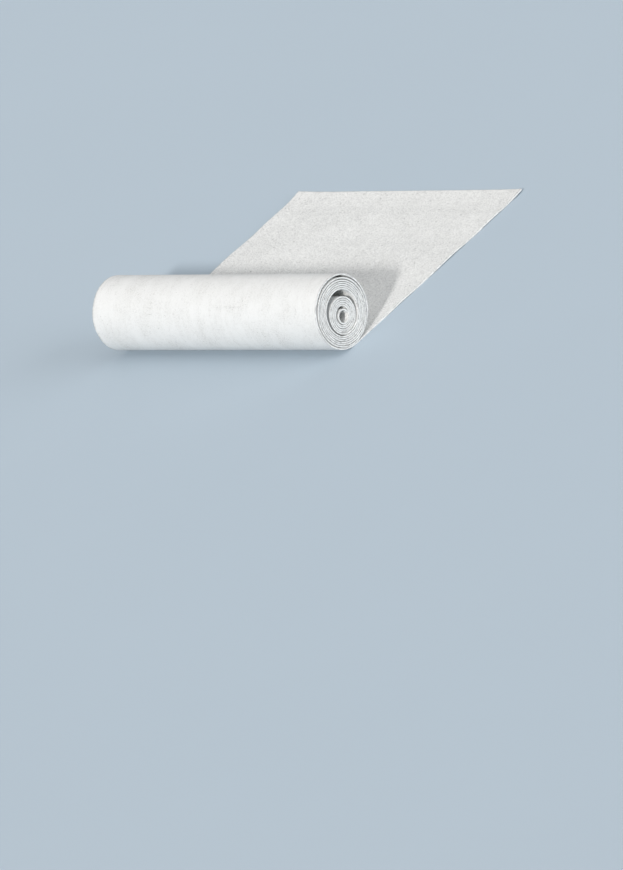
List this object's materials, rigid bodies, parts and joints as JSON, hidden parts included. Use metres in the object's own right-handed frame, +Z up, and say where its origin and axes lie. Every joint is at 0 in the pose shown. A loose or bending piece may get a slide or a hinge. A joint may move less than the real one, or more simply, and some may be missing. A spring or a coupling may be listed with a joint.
{
  "type": "roll of roofing felt",
  "caption": "Roll of mineral-surfaced bitumen roofing felt lying on its side, its first stretch laid out flat behind it, with spiral turns on both ends and an open bore.",
  "frame": {"origin": "on the ground, at the middle of the rectangle that the roll and its laid stretch cover", "axes": "+X along the roll's bore, +Y from the roll towards the end of the laid stretch, +Z up"},
  "size_m": [1, 1.0274, 0.2431],
  "materials": {
    "mineral_felt": "matte bitumen sheet covered with pale mineral granules"
  },
  "bodies": {
    "root": {"roofing_felt": "mineral_felt"}
  },
  "joints": []
}
